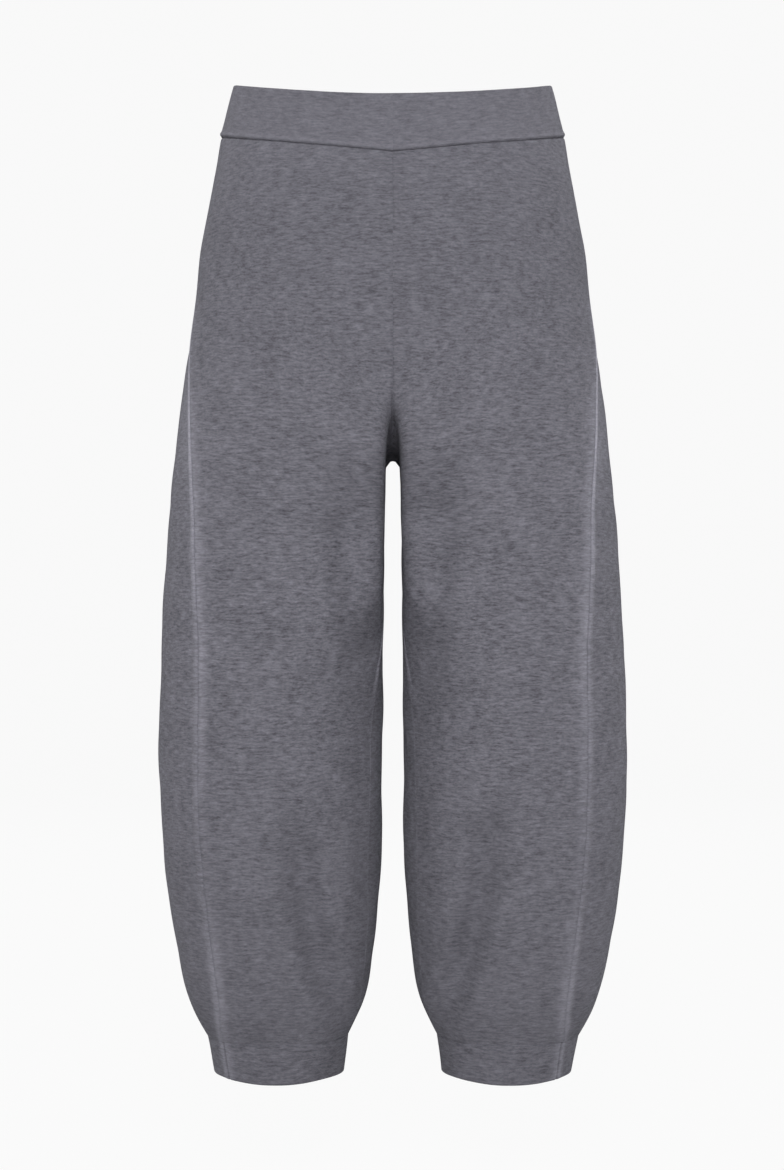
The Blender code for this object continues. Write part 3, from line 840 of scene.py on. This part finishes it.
def knit_material(name, dark, light, contrast):
    """Matt knit with a soft nap, of the given dark and light fibres."""
    material = bpy.data.materials.new(name)
    material.use_nodes = True
    tree = material.node_tree
    shader = tree.nodes["Principled BSDF"]
    # The pale attribute holds the highlights painted along the seams' ridges.
    pale = add_node(tree, "Attribute", {}, attribute_name="pale").outputs["Fac"]
    knit = add_node(
        tree,
        "Group",
        {
            "Dark": (*dark, 1),
            "Light": (*light, 1),
            "Contrast": contrast,
            "Painted Highlight": pale,
            "Stitch Width": STITCH_WIDTH,
            "Stitch Height": STITCH_HEIGHT,
        },
        node_tree=MELANGE,
    ).outputs
    bump = add_node(tree, "Bump", {"Height": knit["Height"], "Strength": 0.5, "Distance": 0.0008})
    tree.links.new(knit["Colour"], shader.inputs["Base Color"])
    tree.links.new(knit["Roughness"], shader.inputs["Roughness"])
    tree.links.new(bump.outputs[0], shader.inputs["Normal"])
    shader.inputs["Specular IOR Level"].default_value = 0.25
    shader.inputs["Sheen Weight"].default_value = 0.1
    shader.inputs["Sheen Roughness"].default_value = 0.45
    shader.inputs["Sheen Tint"].default_value = (0.85, 0.85, 0.95, 1)
    return material


LEG_KNIT = knit_material("leg_knit", DARK_FIBRE, LIGHT_FIBRE, 1.0)

# Each panel's number gives it puckers of its own, and a place of its own on the knit, which lies
# this far along from the one before.
PANEL_NUMBERS = {"front": {"left": 0, "right": 1}, "back": {"left": 2, "right": 3}}
PANEL_KNIT_SHIFT = 1.37


def add_panel(face, side, skin, number):
    """One leg panel as a thin closed shell, with its seams, folds and puckers."""
    seams, pale = seam_relief(skin)
    from_seam = np.minimum(skin["from_inner"], skin["from_outer"])
    away_from_seams = 1 - bell(from_seam, FOLD_SEAM_FADE)
    relief = seams + away_from_seams * fold_relief(skin, side)
    relief += wave_relief(skin["points"], side)
    relief += pucker_relief(skin["grain"], skin["from_top"], number)
    way = skin["way"].copy()
    way[..., 2] *= 1 - bell(skin["from_foot"], FOOT_TURN_REACH)
    way /= np.linalg.norm(way, axis=-1, keepdims=True)
    outer = skin["points"] + way * relief[..., None]
    outer[..., 1] += away_from_seams * tuck_setback(skin, side)
    inner = outer - way * KNIT_THICKNESS
    points = np.concatenate([outer, inner[:, ::-1]], axis=1)
    points = points * np.array([SIDES[side], 1, 1])
    knit = np.stack([skin["grain"] + number * PANEL_KNIT_SHIFT, skin["drop"]], axis=-1)
    knit = np.concatenate([knit, knit[:, ::-1], knit[:, :1]], axis=1)
    pale = np.concatenate([pale, pale[:, ::-1] * 0], axis=1)
    flip = (face == "back") == (side == "left")
    panel = add_cloth(f"{face}_{side}_cloth", points, knit, pale, False, flip)
    panel.data.materials.append(LEG_KNIT)
    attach(panel, "root")
    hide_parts(f"{face}_{side}")


for face_name, side_numbers in PANEL_NUMBERS.items():
    panel_form = panel_skin(face_name)
    for side_name, panel_number in side_numbers.items():
        add_panel(face_name, side_name, panel_form, panel_number)

# ---------------------------------------------------------------------------------------------
# The waistband.
# A strip of the same knit, folded double along its top edge and linked to the four panels. Its
# lower edge rolls over the seam as a small ridge.

BAND_THICKNESS = 0.0036
BAND_PROUD = 0.0009
BAND_COLUMNS = 84
BAND_ROWS = 26
BAND_RIDGE = 0.0009
BAND_RIDGE_UP = 0.0028
BAND_RIDGE_WIDTH = 0.0020
# How much paler the highlight painted along the band's ridge makes it.
BAND_RIDGE_HIGHLIGHT = 0.12
BAND_KNIT_SHIFT = 9.1
BAND_PUCKER_SEED = 6
BAND_KNIT = knit_material("band_knit", DARK_FIBRE, LIGHT_FIBRE, 0.8)
# A doubled strip's rows lie closer beside its two rolled edges, which have rows of their own.
ROLL_CLOSENESS = 0.7
ROLL_ROWS = 7


def folded_section(height, thickness, rows, butted=False):
    """Round a doubled strip's section: the share of its height, and the offset from its face.

    It runs up the outside, over the rounded top, down the inside and under the rounded foot.
    A butted strip's top is square instead, to meet the cloth above it edge to edge.
    """
    radius = thickness / 2
    rim = radius / height
    arc = np.linspace(0, np.pi, ROLL_ROWS + 2)[1:-1]
    over = arc[:0] if butted else arc
    up = drawn_closer(rows, ROLL_CLOSENESS) * (1 - rim if butted else 1 - 2 * rim) + rim
    heights = np.concatenate(
        [up, 1 - rim + rim * np.sin(over), up[::-1], rim - rim * np.sin(arc)]
    )
    offsets = np.concatenate(
        [
            np.zeros_like(up),
            -radius + radius * np.cos(over),
            np.full_like(up, -thickness),
            -radius - radius * np.cos(arc),
        ]
    )
    return heights, offsets


def band_quarter(face, heights):
    """The form under one quarter of the waistband, from the centre to the side."""
    facing = -1 if face == "front" else 1
    shares = np.linspace(0, 1, BAND_COLUMNS + 1)
    bottom_lean = risen_share(shares, facing, BAND_BOTTOM_VEE[face])
    bottom = BAND_BOTTOM[face] + (BAND_BOTTOM["side"] - BAND_BOTTOM[face]) * bottom_lean
    top_lean = risen_share(shares, facing)
    top = BAND_TOP[face] + (BAND_TOP["side"] - BAND_TOP[face]) * top_lean
    drop = bottom[None, :] + (top - bottom)[None, :] * heights[:, None]
    inner = inner_turn(drop, facing)
    return form_point(inner + (outer_turn(drop) - inner) * shares, drop)


def add_waistband():
    """The doubled band as one closed ring."""
    band_height = BAND_BOTTOM["side"] - BAND_TOP["side"]
    heights, offsets = folded_section(band_height, BAND_THICKNESS, BAND_ROWS)
    front = band_quarter("front", heights)
    back = band_quarter("back", heights)
    front[:, 0, 0] = 0
    back[:, 0, 0] = 0
    left = np.concatenate([front[:, :-1], back[:, ::-1]], axis=1)
    right = left[:, 1:-1][:, ::-1] * np.array([-1, 1, 1])
    form = np.concatenate([left, right], axis=1)
    way = outward(form)
    ring = np.concatenate([form, form[:, :1]], axis=1)
    around = travelled(ring[:1], 1)
    from_foot = heights[:, None] * band_height
    outside = np.clip(1 + offsets / BAND_THICKNESS, 0, 1)[:, None]
    ridge = bell(from_foot - BAND_RIDGE_UP, BAND_RIDGE_WIDTH) * outside
    relief = BAND_PROUD + offsets[:, None] + BAND_RIDGE * ridge
    relief = relief + wave_relief(form, "left")
    relief = relief + pucker_relief(around[:, :-1], from_foot, BAND_PUCKER_SEED)
    points = form + way * relief[..., None]
    along = np.concatenate([heights, [heights[0]]]) * band_height
    along[len(heights) // 2 :] = 2 * band_height - along[len(heights) // 2 :]
    knit = np.stack(np.broadcast_arrays(around + BAND_KNIT_SHIFT, along[:, None]), axis=-1)
    # The band's ridge gets a painted highlight.
    pale = np.broadcast_to(ridge * BAND_RIDGE_HIGHLIGHT, points.shape[:2])
    band = add_cloth("waistband_cloth", points, knit, pale, True, False)
    band.data.materials.append(BAND_KNIT)
    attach(band, "root")
    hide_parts("waistband")


add_waistband()

# ---------------------------------------------------------------------------------------------
# The cuffs.
# Each leg ends in a short band of the knit, folded double along the hem, which holds the end of
# the barrel in.

CUFF_THICKNESS = 0.003
CUFF_TOP_DROP = SECTIONS[-1][0]
HEM_DROP = 0.9374
# Where the hem reaches, and how much lower it hangs at the front and the back than at its sides.
HEM_OUTER = 0.1701
HEM_INNER = 0.0467
HEM_REACH = {"front": 0.0575, "back": 0.0590}
HEM_DIP = 0.0034
HEM_DIP_ROUNDNESS = 5.5
# The hem's outline is a little flattened at its two sides.
HEM_FLATTENING = 0.25
CUFF_COLUMNS = 240
CUFF_ROWS = 24
CUFF_KNIT_SHIFTS = {"left": 23.1, "right": 26.4}
# The cuffs' knit is a shade darker, and its melange shows more.
CUFF_KNIT = knit_material("cuff_knit", (0.096, 0.094, 0.111), (0.206, 0.202, 0.235), 1.15)


def cuff_form(turns, share):
    """The cuff's outer face: the leg's foot above, which closes in to the hem below.

    share is 0 along the leg's foot and 1 along the hem.
    """
    foot = form_point(turns, np.full_like(turns, CUFF_TOP_DROP))
    foot_outer, foot_inner = foot[..., 0].max(), foot[..., 0].min()
    foot_middle = (foot_outer + foot_inner) / 2
    narrowing = (HEM_OUTER - HEM_INNER) / (foot_outer - foot_inner)
    facing = np.where(foot[..., 1] < 0, "front", "back")
    forward = np.where(facing == "front", -foot[..., 1].min(), foot[..., 1].max())
    hem_reach = np.where(facing == "front", HEM_REACH["front"], HEM_REACH["back"])
    middle = foot_middle + ((HEM_OUTER + HEM_INNER) / 2 - foot_middle) * share
    x = middle + (foot[..., 0] - foot_middle) * (1 + (narrowing - 1) * share)
    front_share = np.abs(foot[..., 1]) / forward
    y = foot[..., 1] * (1 + (hem_reach / forward * front_share**HEM_FLATTENING - 1) * share)
    dip = HEM_DIP * front_share**HEM_DIP_ROUNDNESS
    height = HEM_DROP + dip - CUFF_TOP_DROP
    return np.stack(np.broadcast_arrays(x, y, -CUFF_TOP_DROP - height * share), axis=-1)


def add_cuff(side):
    """A doubled hem band as one closed ring."""
    height = HEM_DROP - CUFF_TOP_DROP
    heights, offsets = folded_section(height, CUFF_THICKNESS, CUFF_ROWS, butted=True)
    turns = np.linspace(0, 360, CUFF_COLUMNS + 1)[None, :-1]
    form = cuff_form(turns, 1 - heights[:, None])
    ahead = np.roll(form, -1, axis=1) - np.roll(form, 1, axis=1)
    way = np.stack([ahead[..., 1], -ahead[..., 0], np.zeros(form.shape[:2])], axis=-1)
    way /= np.linalg.norm(way, axis=-1, keepdims=True)
    ring = np.concatenate([form, form[:, :1]], axis=1)
    around = travelled(ring, 1)
    outseam = 180 - LEG["outseam"](CUFF_TOP_DROP)
    seam_column = int(round(outseam / 360 * CUFF_COLUMNS))
    from_seam = around[:, :-1] - around[:, seam_column][:, None]
    relief = offsets[:, None] + wave_relief(form, side)
    relief = relief - CREST_GROOVE * bell(from_seam, LINE_WIDTH)
    # Each lobe of the crest on the cuff gets a painted highlight.
    pale = np.zeros_like(relief)
    for face, out in (("front", -from_seam), ("back", from_seam)):
        lobe = crest_lobe(out, face) * (out > 0)
        relief += CREST["height"](CUFF_TOP_DROP) * CREST_SHARE[face] * lobe
        pale += CREST["pale_" + face](CUFF_TOP_DROP) * lobe
    points = (form + way * relief[..., None]) * np.array([SIDES[side], 1, 1])
    along = np.concatenate([heights, [heights[0]]]) * height
    along[len(heights) // 2 :] = 2 * height - along[len(heights) // 2 :]
    across = around[:1] + CUFF_KNIT_SHIFTS[side]
    knit = np.stack(np.broadcast_arrays(across, along[:, None]), axis=-1)
    cuff = add_cloth(f"cuff_{side}_cloth", points, knit, pale, True, side == "left")
    cuff.data.materials.append(CUFF_KNIT)
    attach(cuff, "root")
    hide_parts(f"cuff_{side}")


for side_name in SIDES:
    add_cuff(side_name)

# ---------------------------------------------------------------------------------------------
# The studio.
# A round pale floor that sweeps up into a wall, square soft lights on every side, and a camera
# straight in front, level with the trousers' middle.

FLOOR_DROP = 1.05
FLOOR_REACH = 5.0
SWEEP_RADIUS = 1.5
WALL_TOP = 6.0
SWEEP_STEPS = 12
FLOOR_TURNS = 72
# How bright the floor and the wall look to the camera, how little light they reflect to it on top
# of that, and how much they reflect on to the cloth.
PALENESS = 0.94
TO_CAMERA = 0.02
TO_CLOTH = 0.45


def add_floor():
    """A flat disc whose rim sweeps up, turned round the upright axis."""
    arc = np.radians(np.linspace(0, 90, SWEEP_STEPS + 1))
    out = FLOOR_REACH + SWEEP_RADIUS * np.sin(arc)
    up = SWEEP_RADIUS * (1 - np.cos(arc))
    profile = [(0.0, 0.0), *zip(out, up), (FLOOR_REACH + SWEEP_RADIUS, WALL_TOP)]
    turns = np.radians(np.linspace(0, 360, FLOOR_TURNS + 1)[:-1])
    points = [
        (r * math.cos(t), r * math.sin(t), h - FLOOR_DROP) for r, h in profile for t in turns
    ]
    faces = []
    for ring in range(0, len(points) - FLOOR_TURNS, FLOOR_TURNS):
        for i in range(FLOOR_TURNS):
            after = (i + 1) % FLOOR_TURNS
            next_ring = ring + FLOOR_TURNS
            faces.append((ring + i, ring + after, next_ring + after, next_ring + i))
    mesh = bpy.data.meshes.new("floor")
    mesh.from_pydata(points, [], faces)
    mesh.shade_smooth()
    floor = bpy.data.objects.new("floor", mesh)
    bpy.context.scene.collection.objects.link(floor)
    material = bpy.data.materials.new("pale_floor")
    material.use_nodes = True
    tree = material.node_tree
    shader = tree.nodes["Principled BSDF"]
    seen = add_node(tree, "LightPath", {}).outputs["Is Camera Ray"]
    colour = add_node(
        tree,
        "Mix",
        {
            "Factor": seen,
            "A": (TO_CLOTH, TO_CLOTH, TO_CLOTH, 1),
            "B": (TO_CAMERA, TO_CAMERA, TO_CAMERA, 1),
        },
        data_type="RGBA",
    )
    tree.links.new(colour.outputs["Result"], shader.inputs["Base Color"])
    shader.inputs["Roughness"].default_value = 0.9
    shader.inputs["Specular IOR Level"].default_value = 0.0
    shader.inputs["Emission Color"].default_value = (1, 1, 1, 1)
    strength = calculate(tree, "MULTIPLY", seen, PALENESS)
    tree.links.new(strength, shader.inputs["Emission Strength"])
    mesh.materials.append(material)


def add_softbox(name, place, aim, size, power):
    """A square soft light that faces the aim."""
    light = bpy.data.lights.new(name, "AREA")
    light.shape = "SQUARE"
    light.size = size
    light.energy = power
    lamp = bpy.data.objects.new(name, light)
    lamp.location = place
    lamp.rotation_euler = (Vector(aim) - Vector(place)).to_track_quat("-Z", "Y").to_euler()
    lamp.visible_camera = False
    bpy.context.scene.collection.objects.link(lamp)


add_floor()
# The lights all face the trousers' middle. Sizes are metres and powers are watts.
MIDDLE = (0.0, 0.0, -0.47)
add_softbox("softbox_front", (0.0, -3.3, 1.0), MIDDLE, 1.2, 95)
for side_name, across in SIDES.items():
    add_softbox(f"softbox_front_{side_name}", (2.5 * across, -2.5, 0.4), MIDDLE, 1.5, 7)
    add_softbox(f"softbox_{side_name}", (3.2 * across, -0.5, 1.0), MIDDLE, 1.5, 21)
    add_softbox(f"softbox_back_{side_name}", (2.8 * across, 1.2, 1.8), MIDDLE, 1.5, 34)
add_softbox("softbox_back", (0.0, 3.6, 1.2), MIDDLE, 1.5, 40)

world = bpy.data.worlds.new("studio")
world.use_nodes = True
world.node_tree.nodes["Background"].inputs["Color"].default_value = (1, 1, 1, 1)
world.node_tree.nodes["Background"].inputs["Strength"].default_value = 0.02
bpy.context.scene.world = world
bpy.context.scene.view_settings.view_transform = "Standard"

CAMERA_AWAY = 2.45
CAMERA_DROP = 0.4746
CAMERA_OUT = -0.0008
PICTURE_HEIGHT = 1.115
camera_data = bpy.data.cameras.new("camera")
camera_data.sensor_width = 36.0
camera_data.lens = 36.0 * CAMERA_AWAY / PICTURE_HEIGHT
camera = bpy.data.objects.new("camera", camera_data)
camera.location = (CAMERA_OUT, -CAMERA_AWAY, -CAMERA_DROP)
camera.rotation_euler = (math.radians(90), 0, 0)
bpy.context.scene.collection.objects.link(camera)
bpy.context.scene.camera = camera
